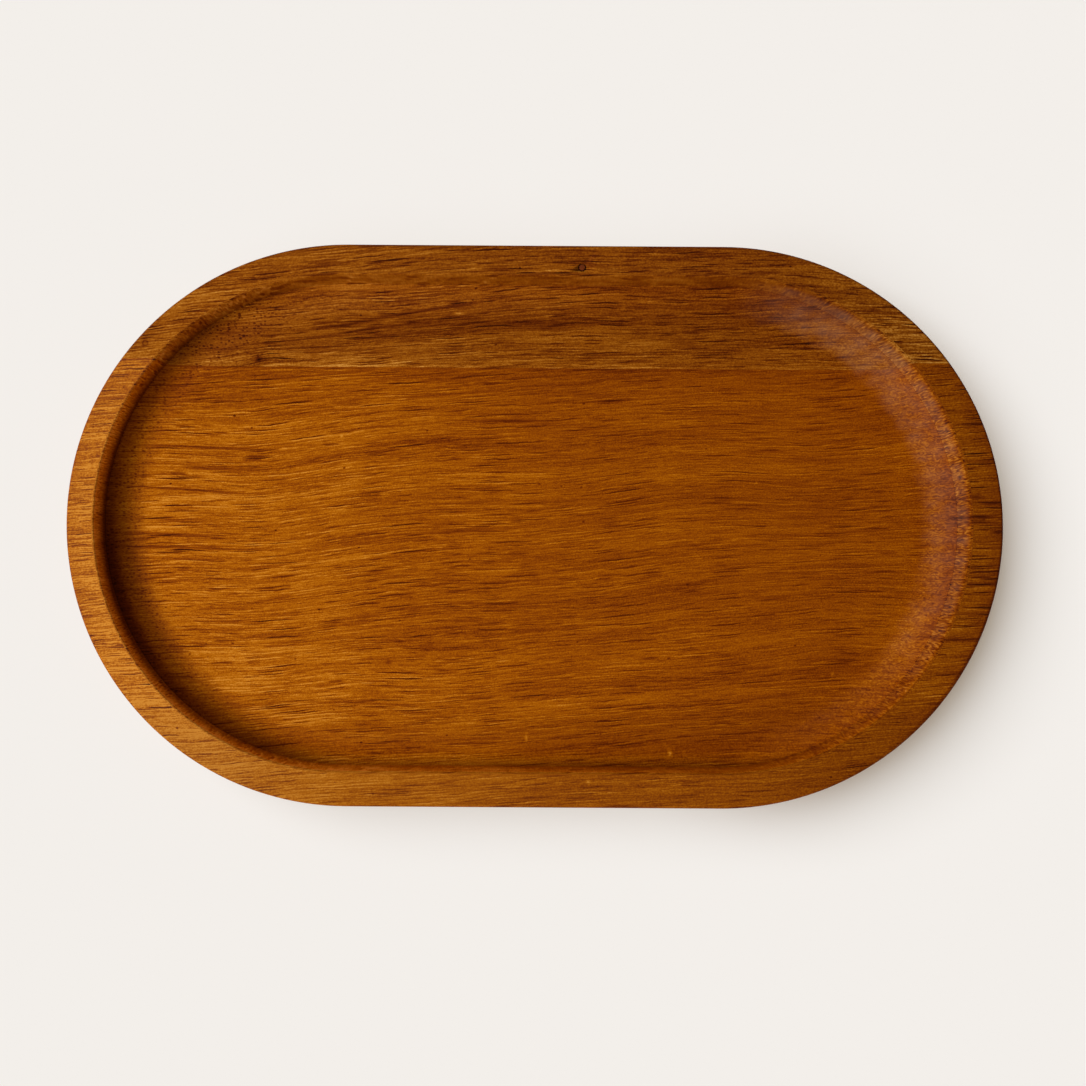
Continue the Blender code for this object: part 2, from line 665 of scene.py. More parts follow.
@dataclass(frozen=True)
class Wood:
    """Oiled open-grained hardwood: growth bands, fibres and pores that run through the solid.

    The tone is the red part of the colour, and the ramp gives the colour for each tone. Painted
    light and shade make the tone lighter and darker along the tray and on its round, and a
    painted sheen lies over the colour.
    """

    name: str
    slot: str
    seed: float
    tone: float
    ramp: tuple[Colour, ...]
    bands: Stops
    # along and rim_along: the tone from end to end, partly the wood's own and partly painted light
    along: Stops
    rim_along: Stops
    contrast: Stops
    rim_contrast: Stops
    # How strong the painted sheen is on the rim along the tray, and at the recess's right end across
    # it
    rim_painted_sheen: Stops
    end_painted_sheen: Stops
    slope: float
    bend: float
    bend_at: float
    swells: tuple[Mark, ...]
    fibres: tuple[Fibres, ...]
    streaks: tuple[Streaks, ...]
    pores: tuple[Pores, ...]
    marks: tuple[Mark, ...]
    glue_mark: Mark
    curls: Curls = Curls()
    painted_sheen: PaintedSheen = PaintedSheen()
    calm: Calm = Calm()
    fades: Fades = Fades()
    shades: Shades = Shades()
    sheen: Sheen = Sheen(0.35, 0.06, 0.02)

    # The grain's wander: the length and width of each slow wave, and how far it goes
    WANDER = ((60.0, 26.0, 3.0), (19.0, 7.0, 0.8), (3.6, 1.2, 0.40))
    # The groups that the streaks gather in: their size, and how much they count
    GROUPS = ((26.0, 2.8, 2.8), 0.30)
    LAYER_SHIFT = 7.3
    WALL_DRAWN_DOWN = 0.85

    def grain_height(self, spot: Spot) -> Term:
        """Across the grain: the same everywhere along one fibre.

        Args:
            spot: the point.

        Returns:
            The distance across the grain, in millimetres.
        """
        past_bend = spot.x - self.bend_at
        height = spot.y - spot.x * self.slope - past_bend * past_bend * self.bend
        for swell in self.swells:
            height = height - spot.mound(swell) * swell.strength
        for long, wide, drift in self.WANDER:
            height = height - spot.noise((long, wide, wide), (0.0, 0.0, self.seed)) * drift
        return height

    def place_in_recess(self, spot: Spot) -> RecessPlace:
        """Works out where a point lies in the round of the recess.

        Args:
            spot: the point.

        Returns:
            Its place.
        """
        fades, z = self.fades, spot.z
        half_straight = TRAY.recess_straight * PER_MM / 2
        along = spot.x + TRAY.off_left * PER_MM
        past_left = (-1.0 * along - half_straight).at_least(0.0)
        past_right = (along - half_straight).at_least(0.0)
        out = diagonal(past_left + past_right, spot.y - TRAY.off_rear * PER_MM)
        left, right = past_left / out.at_least(1.0), past_right / out.at_least(1.0)
        turn, top = TRAY.recess_turn * PER_MM, TRAY.height * PER_MM
        crease, crease_up = (size * PER_MM for size in TRAY.crease)
        inside = out.fade(turn, fades.inside)
        on_rim = z.fade(top, fades.rim)
        low = z.fade(crease_up, fades.low) * inside
        rear = spot.y.step(-20.0, 20.0)
        return RecessPlace(
            left=left,
            right=right,
            out=out,
            on_rim=on_rim,
            on_wall=inside * z.fade(top, fades.wall_top) * z.fade(crease_up, fades.wall_foot),
            up_wall=(z - crease_up) * (1.0 / (top - crease_up)),
            in_cove=(out + left * fades.left_cove_wider).fade(crease, fades.cove) * low,
            cove_foot=out.fade(crease, fades.cove_foot) * low,
            at_crease=out.hill(crease, fades.crease) * z.fade(crease_up, fades.low),
            inside=inside,
            outer_side=z.fade(top, fades.outer_side) * (1.0 - inside),
            outer_rim=out.fade(turn, fades.outer_rim) * on_rim,
            right_edge=out.fade(turn, fades.right_edge) * right.step(0.4, 0.9) * on_rim,
            front=(1.0 - left - right) * (1.0 - rear),
            rear=rear,
        )

    def fibre_layers(self, spot: Spot) -> Term:
        """How much lighter or darker the fibres are.

        Args:
            spot: the point, across the grain.

        Returns:
            The sum of the layers, round zero.
        """
        total: Term | float = 0.0
        for number, layer in enumerate(self.fibres):
            shift = self.seed + self.LAYER_SHIFT * number
            made = spot.noise((layer.long, layer.wide, layer.wide), (shift, 0.0, shift))
            if number == 0:
                made = made * (spot.x.step(-60.0, 90.0) * 0.6 + 1.0)
            total = made * layer.share + total
        return total

    def streak_layer(self, spot: Spot, cluster: Term, streaks: Streaks) -> Term:
        """Where one family of dark streaks shows.

        Args:
            spot: the point, across the grain.
            cluster: a slow noise that gathers the streaks.
            streaks: the family.

        Returns:
            1 between the streaks, less inside one and more on its lip.
        """
        sizes = (streaks.long, streaks.wide, streaks.wide)
        lines = []
        for ahead in (0.0, streaks.lip_ahead) if streaks.lip else (0.0,):
            noise = spot.noise(sizes, (streaks.seed, ahead / streaks.wide, streaks.seed))
            lines.append((noise + cluster).step(streaks.start, streaks.full))
        shown = 1.0 - lines[0] * streaks.depth
        if streaks.lip:
            shown = shown + (lines[1] - lines[0]).at_least(0.0) * streaks.lip
        return shown

    def pore_layer(self, spot: Spot, pores: Pores, seed: float) -> Term:
        """Where one family of pores is cut open.

        Args:
            spot: the point, across the grain.
            pores: the family.
            seed: where the family's pattern starts.

        Returns:
            0 between the pores, up to the family's depth inside one, less on its lip.
        """
        pitch = pores.width * pores.spread
        climbing = replace(spot, z=spot.z + spot.x * pores.climb)
        at = climbing.at((pores.length * pores.spread, pitch, pitch), (seed, 0.0, seed))
        graph = spot.graph
        cells = graph.node(
            "ShaderNodeTexVoronoi",
            {"voronoi_dimensions": "3D", "feature": "F1"},
            {"Vector": at, "Scale": 1.0, "Randomness": 1.0},
        ).outputs
        chance = graph.first_part(cells["Color"])
        radius = (chance * (1.0 - pores.smallest) + pores.smallest) * (1.0 / pores.spread)
        reach = Term(graph, cells["Distance"]) / radius
        shown = ((1.0 - reach) * pores.sharpness).at_least(0.0).at_most(1.0)
        shown = shown * (chance * (1.0 - pores.palest) + pores.palest) * pores.depth
        if pores.lip:
            middle = graph.term("ShaderNodeSeparateXYZ", 1, {}, {0: cells["Position"]})
            front = (middle - spot.y / pitch).step(0.0, 0.05)
            shown = shown - front * reach.step(0.9, 1.2) * reach.step(2.4, 1.5) * pores.lip
        return shown

    def curl_layer(self, spot: Spot, place: RecessPlace) -> Term:
        """Where the curled lines and dots of the cut fibre ends show.

        Args:
            spot: the point.
            place: its place in the recess.

        Returns:
            Up to 1 on a dark line or dot, 0 between and less on a pale line.
        """
        curls = self.curls
        noise = spot.noise((curls.long, curls.wide, curls.wide), (0.0, 0.0, self.seed), detail=1.0)
        wave = (noise * curls.turns + spot.y * curls.climb).fold()
        lines = wave.step(*curls.dark) * curls.dark_share - wave.step(*curls.pale)
        dots = self.pore_layer(spot, curls.dots, self.seed + curls.dots.seed)
        right = place.in_cove * curls.right_cove + place.on_wall * curls.right_wall
        right, left = place.right * right, place.left * place.in_cove
        dotted = left * curls.left_dots + right * curls.right_dots
        dotted = dotted + spot.mound(curls.corner) * place.inside * curls.corner.strength
        return lines * (right + left * curls.left_lines) + dots * dotted

    def mark_layer(self, spot: Spot) -> Term:
        """How much lighter or darker the small marks make the wood.

        Args:
            spot: the point.

        Returns:
            The sum of the marks, which is 0 away from them.
        """
        x, y, glue = spot.x, spot.y, self.glue_mark
        total = y.hill(glue.y, glue.reach_y) * x.step(glue.x + glue.reach_x, glue.x)
        total = total * glue.strength
        for mark in self.marks:
            if mark.ring:
                shown = diagonal(x - mark.x, y - mark.y).hill(mark.ring, mark.reach_x)
            else:
                level = y - (x - mark.x) * mark.lean if mark.lean else y
                shown = replace(spot, y=level).mound(mark)
            total = total + shown * mark.strength
        return total

    def shade(self, y: Term, place: RecessPlace) -> Term:
        """The painted light and shade of the parts of the tray's round, beside the flat.

        Args:
            y: to the rear.
            place: the point's place in the recess.

        Returns:
            The share of the tone that is left after the painted light and shade.
        """
        shades, ends = self.shades, place.left + place.right
        middle, front = y.hill(0.0, 22.0), y.step(-18.0, -45.0)
        right = shades.right_cove + middle * shades.right_cove_middle
        right = right + front * shades.right_cove_front
        left = place.rear * shades.left_cove_rear + shades.left_cove
        cove = place.right * right + place.left * left + place.front * shades.front_cove
        left = (shades.left_foot - y * shades.left_foot_climb).at_least(shades.left_foot_least)
        foot = place.front * shades.front_foot - place.left * left
        foot = foot + place.right * y.step(45.0, 10.0) * shades.right_foot
        wall = place.right * (place.rear * shades.right_wall_rear + shades.right_wall)
        rim = ends**4.0 * shades.outer_rim_at_end + shades.outer_rim
        share: Term | float = 1.0
        for part, change in (
            (place.in_cove, cove),
            (place.cove_foot, foot),
            (place.on_wall, wall),
            (place.outer_rim, rim),
            (place.at_crease, shades.crease),
            (place.outer_side, shades.outer_side),
            (place.right_edge, shades.right_edge),
        ):
            share = (1.0 + part * change) * share
        return share

    def painted_wall_shading(self, y: Term, place: RecessPlace) -> Term:
        """The painted light and shade on the wall of the recess, as a square root.

        Args:
            y: to the rear.
            place: the point's place in the recess.

        Returns:
            The square root of the wall's painted light and shade, which is 1 off the wall.
        """
        shades = self.shades
        # Painted shade towards the foot of the left wall, painted light at its top
        left = place.up_wall * shades.left_wall_climb + shades.left_wall
        left = left + y * shades.left_wall_to_rear + y.at_most(0.0) * shades.left_wall_to_front
        left = left.at_least(shades.left_wall_least).at_most(shades.left_wall_most)
        # Painted light on the front and rear walls, and on the front wall more towards its top
        sides = (1.0 - place.left - place.right) * shades.side_wall
        front = place.up_wall * shades.front_wall_climb + shades.front_wall
        wall = place.left * left + sides + place.front * front
        return (1.0 + place.on_wall * wall) ** 0.5

    def painted_sheen_share(self, spot: Spot, place: RecessPlace) -> Term:
        """How much painted sheen lies over the wood, on the rim and at the recess's right end.

        Args:
            spot: the point.
            place: its place in the recess.

        Returns:
            The painted sheen's share.
        """
        painted_sheen = self.painted_sheen
        patchy = spot.noise(painted_sheen.patch, (0.0, 0.0, self.seed), detail=1.0)
        patchy = patchy * painted_sheen.patchiness + 1.0
        spread = (place.out + patchy * painted_sheen.ragged).step(painted_sheen.start, painted_sheen.start + painted_sheen.width)
        at_end = spread * place.inside * (1.0 - place.on_rim)
        at_end = at_end * place.right.step(*painted_sheen.round_end) * patchy.at_least(painted_sheen.thinnest)
        on_wall = place.on_wall * (painted_sheen.wall_foot - place.up_wall.step(0.5, 1.0) * painted_sheen.wall_loss)
        at_end = at_end * (1.0 + on_wall - place.at_crease * painted_sheen.crease_loss)
        on_rim = place.on_rim * spot.graph.curve(spot.x, self.rim_painted_sheen)
        return on_rim + at_end * spot.graph.curve(spot.y, self.end_painted_sheen)

    def build(self) -> Material:
        """Builds the material.

        Returns:
            The finished material.
        """
        material, graph, shader = new_material(self.name)
        spot = graph.place()
        x, y = spot.x, spot.y
        place = self.place_in_recess(spot)
        over_floor = spot.z - TRAY.floor * PER_MM
        spot = replace(spot, z=spot.z - place.inside * over_floor * self.WALL_DRAWN_DOWN)
        grain = replace(spot, y=self.grain_height(spot))
        normal = graph.node("ShaderNodeNewGeometry").outputs["Normal"]
        end_grain = graph.term("ShaderNodeSeparateXYZ", 0, {}, {0: normal}).size()

        fibre = self.fibre_layers(grain)
        group, share = self.GROUPS
        cluster = grain.noise(group, (self.seed, 0.0, 0.0)) * share
        fine_lines = self.streak_layer(grain, cluster, self.streaks[0])
        light = fine_lines
        for family in self.streaks[1:]:
            light = light * self.streak_layer(grain, cluster, family)
        for pores in self.pores:
            light = light * (1.0 - self.pore_layer(grain, pores, pores.seed))
        contrast = graph.curve(x, self.contrast)
        contrast = contrast * (1.0 + place.on_rim * (graph.curve(x, self.rim_contrast) - 1.0))
        at_end = place.in_cove * (place.left + place.right)
        calm = self.calm
        contrast = contrast * (1.0 - place.on_wall * calm.wall - at_end * calm.cove_at_ends)

        # along and rim_along change the tone from end to end: partly the wood's own tone, partly
        # painted light
        tone = graph.curve(grain.y, self.bands) * graph.curve(x, self.along) * self.tone
        tone = tone * (1.0 + place.on_rim * (graph.curve(x, self.rim_along) - 1.0))
        # Painted light and shade on the tray's round: darker at the crease, in the left cove and at
        # the outer edge, lighter on the right wall and cove
        tone = tone * self.shade(y, place)
        on_right_rim = 1.0 - place.on_rim * place.right * calm.rim_at_right
        tone = tone * (1.0 + fibre * contrast * on_right_rim)
        tone = tone * (1.0 + (light - 1.0) * contrast).at_least(calm.darkest)
        tone = tone * (1.0 - self.curl_layer(spot, place) * self.curls.depth)
        tone = tone * (1.0 + self.mark_layer(spot)) * (1.0 + end_grain * self.shades.end_grain)

        # Painted light and shade on the wall: its square root goes into the ramp's tone and again
        # into the colour
        wall_shading = self.painted_wall_shading(y, place)
        golden = y.step(-45.0, -78.0) * self.shades.golden_front
        golden = 1.0 + place.on_rim * (golden + place.right * self.shades.golden_right)
        top = self.ramp[-1][0]
        stops = [(colour[0] / top, colour) for colour in self.ramp]
        colour = graph.ramp(tone * wall_shading * golden * (1.0 / top), stops)
        colour = graph.scale(colour, wall_shading / golden)
        # Painted sheen: a pale highlight mixed over the colour, on the rim and at the recess's right
        # end
        colour = graph.mix(self.painted_sheen_share(spot, place), colour, self.painted_sheen.colour)
        roughness = 0.70 - light * 0.06 - place.in_cove * 0.20 + fibre * 0.05
        self.sheen.finish(graph, shader, colour, roughness, fibre * 0.35 + fine_lines)
        return material


@dataclass(frozen=True)
class PlugWood:
    """Dark end grain with a darker skin round it, in millimetres."""

    name: str = "plug_end_grain"
    speck: tuple[float, float, float] = (0.16, 0.16, 3.0)
    skin: Pair = (0.62, 0.95)
    skin_depth: float = 0.28
    colours: tuple[tuple[float, Colour], ...] = (
        (0.0, (0.022, 0.004, 0.001)), (0.5, (0.13, 0.022, 0.003)), (1.0, (0.24, 0.06, 0.006)),
    )
    sheen: Sheen = Sheen(0.4, 0.05, 0.07)

    def build(self) -> Material:
        """Builds the material.

        Returns:
            The finished material.
        """
        material, graph, shader = new_material(self.name)
        spot = graph.place()
        middle = TRAY.plug_place * PER_MM
        out = diagonal(spot.x - middle.x, spot.y - middle.y)
        speck = spot.noise(self.speck, detail=2.0, roughness=0.6)
        tone = 0.5 + speck * 1.3 - out.step(*self.skin) * self.skin_depth
        colour = graph.ramp(tone, self.colours)
        self.sheen.finish(graph, shader, colour, 0.62 + speck * 0.2, speck)
        return material


# Shape


def only(kind: type, items: Sequence[Any]) -> list[Any]:
    """The items of one bmesh type."""
    return [item for item in items if isinstance(item, kind)]


def in_scene(thing: Object) -> Object:
    """Puts an object into the scene."""
    bpy.context.scene.collection.objects.link(thing)
    return thing


class SectionLine:
    """A section drawn with a moving point: up, and out from the turn's axis, towards -Y."""

    def __init__(self, bm: BMesh, start: Vector) -> None:
        """Puts the point down.

        Args:
            bm: the mesh to draw in.
            start: where the line starts.
        """
        self.bm = bm
        self.verts = [bm.verts.new(start)]
        self.edges: list[BMEdge] = []

    def move(self, *ways: Pair) -> None:
        """Draws straight stretches, each so far out and so far up."""
        for out, up in ways:
            bmesh.ops.translate(self.bm, verts=self._stretch(), vec=(0.0, -out, up))

    def turn(self, out: float, up: float, degrees: float, steps: int) -> None:
        """Draws a round stretch.

        Args:
            out: how far out the arc's middle lies from the point.
            up: how far above the point the middle lies.
            degrees: how far to turn about +X, so that a positive turn goes from -Y up.
            steps: how many straight pieces make the arc.
        """
        middle = self.verts[-1].co + Vector((0.0, -out, up))
        step = Matrix.Rotation(math.radians(degrees / steps), 3, "X")
        for _ in range(steps):
            bmesh.ops.rotate(self.bm, verts=self._stretch(), cent=middle, matrix=step)

    def _stretch(self) -> list[BMVert]:
        """Adds a stretch to the line, with its new end still on the last one.

        Returns:
            The new end.
        """
        made = bmesh.ops.extrude_vert_indiv(self.bm, verts=self.verts[-1:])
        self.verts += made["verts"]
        self.edges += made["edges"]
        return made["verts"]


@dataclass(frozen=True)
class TrayBlank:
    """The glued blank with its rounded outside and its dished recess.

    The steps say how finely each round stretch is cut. A flat face has a narrow border beside
    each round one.
    """

    turn_steps: int = 112
    straight_steps: int = 12
    base_edge_steps: int = 8
    top_edge_steps: int = 6
    inner_edge_steps: int = 5
    cove_steps: int = 16
    border: float = 0.0003
    floor_border: float = 0.0012

    def outside(self, bm: BMesh) -> SectionLine:
        """Draws the section from the underside, up the side and onto the rim.

        Args:
            bm: the mesh to draw in.

        Returns:
            The section.
        """
        border = self.border
        start = TRAY.outer_turn - TRAY.base_edge - border
        line = SectionLine(bm, Vector((TRAY.outer_straight / 2, -start, 0.0)))
        line.move((border, 0.0))
        line.turn(0.0, TRAY.base_edge, -90.0, self.base_edge_steps)
        side = TRAY.height - TRAY.base_edge - TRAY.top_edge
        line.move((0.0, border), (0.0, side - 2 * border), (0.0, border))
        line.turn(-TRAY.top_edge, 0.0, -90.0, self.top_edge_steps)
        line.move((-border, 0.0))
        return line

    def recess(self, bm: BMesh) -> SectionLine:
        """Draws the section from the rim, over the inner edge, down the wall and along the cove.

        Args:
            bm: the mesh to draw in.

        Returns:
            The section.
        """
        border, lean = self.border, math.tan(math.radians(TRAY.draft_deg))
        start = TRAY.recess_turn + TRAY.inner_edge + border
        middle_x = TRAY.recess_straight / 2 - TRAY.off_left
        line = SectionLine(bm, Vector((middle_x, TRAY.off_rear - start, TRAY.height)))
        line.move((-border, 0.0))
        line.turn(0.0, -TRAY.inner_edge, TRAY.draft_deg - 90.0, self.inner_edge_steps)
        drop = TRAY.wall_top[1] - TRAY.crease[1]
        line.move(*((-down * lean, -down) for down in (border, drop - 2 * border, border)))
        radius = (TRAY.cove_reach**2 + TRAY.cove_rise**2) / (2 * TRAY.cove_rise)
        swept = math.degrees(math.asin(TRAY.cove_reach / radius))
        line.turn(-TRAY.cove_reach, radius - TRAY.cove_rise, swept, self.cove_steps)
        line.move((-self.floor_border, 0.0))
        return line

    def carry_round(self, bm: BMesh, line: SectionLine, straight: float, middle: Vector) -> None:
        """Carries a section once round a stadium.

        Args:
            bm: the mesh.
            line: the section, at the front start of the right-hand turn.
            straight: the length of the straight sides.
            middle: the stadium's middle.
        """
        verts, edges = line.verts, line.edges
        for side in (1, -1):
            turned = bmesh.ops.spin(
                bm,
                geom=verts + edges,
                cent=middle + Vector((side * straight / 2, 0.0, 0.0)),
                axis=(0.0, 0.0, 1.0),
                angle=HALF_TURN,
                steps=self.turn_steps,
            )
            edges = only(BMEdge, turned["geom_last"])
            for _ in range(self.straight_steps):
                run = bmesh.ops.extrude_edge_only(bm, edges=edges)["geom"]
                verts = only(BMVert, run)
                edges = [e for e in only(BMEdge, run) if set(e.verts) <= set(verts)]
                step = Vector((-side * straight / self.straight_steps, 0.0, 0.0))
                bmesh.ops.translate(bm, verts=verts, vec=step)
        bmesh.ops.remove_doubles(bm, verts=bm.verts, dist=SAME_POINT)

    def open_edges(self, bm: BMesh, height: float) -> list[BMEdge]:
        """The open edges that lie at one height."""
        level = [e for e in bm.edges if all(abs(v.co.z - height) < SAME_POINT for v in e.verts)]
        return [e for e in level if e.is_boundary]

    def build(self) -> BMesh:
        """Builds the whole tray as one closed body, before it is parted along the glue line.

        Returns:
            The body's mesh.
        """
        bm = bmesh.new()
        self.carry_round(bm, self.outside(bm), TRAY.outer_straight, Vector())
        self.carry_round(bm, self.recess(bm), TRAY.recess_straight, TRAY.recess_middle)
        bmesh.ops.bridge_loops(bm, edges=self.open_edges(bm, TRAY.height))
        for height in (TRAY.floor, 0.0):
            bmesh.ops.contextual_create(bm, geom=self.open_edges(bm, height))
        bmesh.ops.recalc_face_normals(bm, faces=bm.faces)
        return bm


def make_piece(name: str, bm: BMesh, material: Material) -> Object:
    """Turns a mesh into a named piece at the origin, smooth on its round faces.

    Args:
        name: the piece's name.
        bm: its mesh, which is used up.
        material: its finish.

    Returns:
        The piece.
    """
    bmesh.ops.recalc_face_normals(bm, faces=bm.faces)
    mesh = bpy.data.meshes.new(name)
    bm.to_mesh(mesh)
    bm.free()
    mesh.materials.append(material)
    mesh.shade_smooth()
    mesh.set_sharp_from_angle(angle=math.radians(SMOOTH_UNDER_DEG))
    return in_scene(bpy.data.objects.new(name, mesh))


class TrayPiece:
    """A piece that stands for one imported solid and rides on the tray's body."""

    def dress(self, piece: Object, node: str, slot: str) -> Object:
        """Puts a piece on the tray's root body, hides the imported solid that it stands for, and
        logs it.

        Args:
            piece: the piece.
            node: the solid that it stands for.
            slot: not used.

        Returns:
            The piece.
        """
        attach(piece, "root")
        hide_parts(node)
        size = " x ".join(f"{side * PER_MM:.1f}" for side in piece.dimensions)
        LOG.info("%s: %d faces, %s mm", piece.name, len(piece.data.polygons), size)
        return piece


@dataclass
class RimPlug(TrayPiece):
    """The round plug in the rear rim."""

    wood: PlugWood = PlugWood()
    sides: int = 48
    edge_steps: int = 3

    def bar(self, radius: float, over: float) -> BMesh:
        """An upright round bar at the plug's place.

        Args:
            radius: its radius.
            over: how far it stands above the rim.

        Returns:
            The bar's mesh.
        """
        bm = bmesh.new()
        depth = TRAY.plug_length + over
        bmesh.ops.create_cone(
            bm, cap_ends=True, segments=self.sides, radius1=radius, radius2=radius, depth=depth
        )
        up = Vector((0.0, 0.0, TRAY.height - TRAY.plug_length + depth / 2))
        bmesh.ops.translate(bm, verts=bm.verts, vec=TRAY.plug_place + up)
        return bm

    def build(self) -> Object:
        """Builds the plug.

        Returns:
            The piece, riding on the tray's body.
        """
        bm = self.bar(TRAY.plug_radius, 0.0)
        top = [e for e in bm.edges if all(v.co.z > TRAY.height - SAME_POINT for v in e.verts)]
        bmesh.ops.bevel(
            bm,
            geom=top,
            offset=TRAY.plug_edge,
            affect="EDGES",
            segments=self.edge_steps,
            profile=0.5,
            material=-1,
        )
        piece = make_piece("rim_plug_wood", bm, self.wood.build())
        return self.dress(piece, "rim_plug", "plug_wood")


@dataclass
class FinishedBoard(TrayPiece):
    """One board of the tray, finished: its side of the blank, with a flat glued face."""

    board: Board
    wood: Wood
    blank: TrayBlank = TrayBlank()

    def build(self) -> Object:
        """Builds the board's mesh and gives it its wood.

        Returns:
            The piece, riding on the tray's body.
        """
        bm = self.blank.build()
        rear = self.board is Board.REAR
        cut = bmesh.ops.bisect_plane(
            bm,
            geom=bm.verts[:] + bm.edges[:] + bm.faces[:],
            dist=SAME_POINT,
            plane_co=(0.0, TRAY.glue_line, 0.0),
            plane_no=(0.0, 1.0, 0.0),
            clear_inner=rear,
            clear_outer=not rear,
        )
        bmesh.ops.contextual_create(bm, geom=only(BMEdge, cut["geom_cut"]))
        piece = make_piece(f"{self.board.value}_wood", bm, self.wood.build())
        if rear:
            self.drill(piece)
        return self.dress(piece, self.board.value, self.wood.slot)

    def drill(self, piece: Object) -> None:
        """Cuts the plug's blind hole.

        Args:
            piece: the rear board.
        """
        bm = RimPlug().bar(TRAY.plug_radius + TRAY.plug_gap, 2 * TRAY.plug_gap)
        cutter = make_piece("plug_hole", bm, piece.data.materials[0])
        cut = piece.modifiers.new("plug_hole", "BOOLEAN")
        cut.operation = "DIFFERENCE"
        cut.solver = "EXACT"
        cut.object = cutter
        bpy.context.view_layer.update()
        ready = piece.evaluated_get(bpy.context.evaluated_depsgraph_get())
        mesh = bpy.data.meshes.new_from_object(ready)
        piece.modifiers.clear()
        piece.data = mesh
        bpy.data.objects.remove(cutter)


# The woods


FRONT_RAMP = (
    (0.00, 0.0004, 0.0000), (0.06, 0.0074, 0.0001), (0.12, 0.0172, 0.0002),
    (0.20, 0.0374, 0.0003), (0.28, 0.0622, 0.0002), (0.36, 0.0930, 0.0005),
    (0.44, 0.1290, 0.0024), (0.52, 0.1700, 0.0085), (0.60, 0.2220, 0.0200),
)
REAR_RAMP = (
    (0.00, 0.0004, 0.0000), (0.06, 0.0078, 0.0003), (0.12, 0.0202, 0.0006),
    (0.20, 0.0453, 0.0013), (0.28, 0.0756, 0.0022), (0.36, 0.1130, 0.0068),
    (0.44, 0.1560, 0.0150), (0.52, 0.2020, 0.0250), (0.60, 0.2600, 0.0400),
)

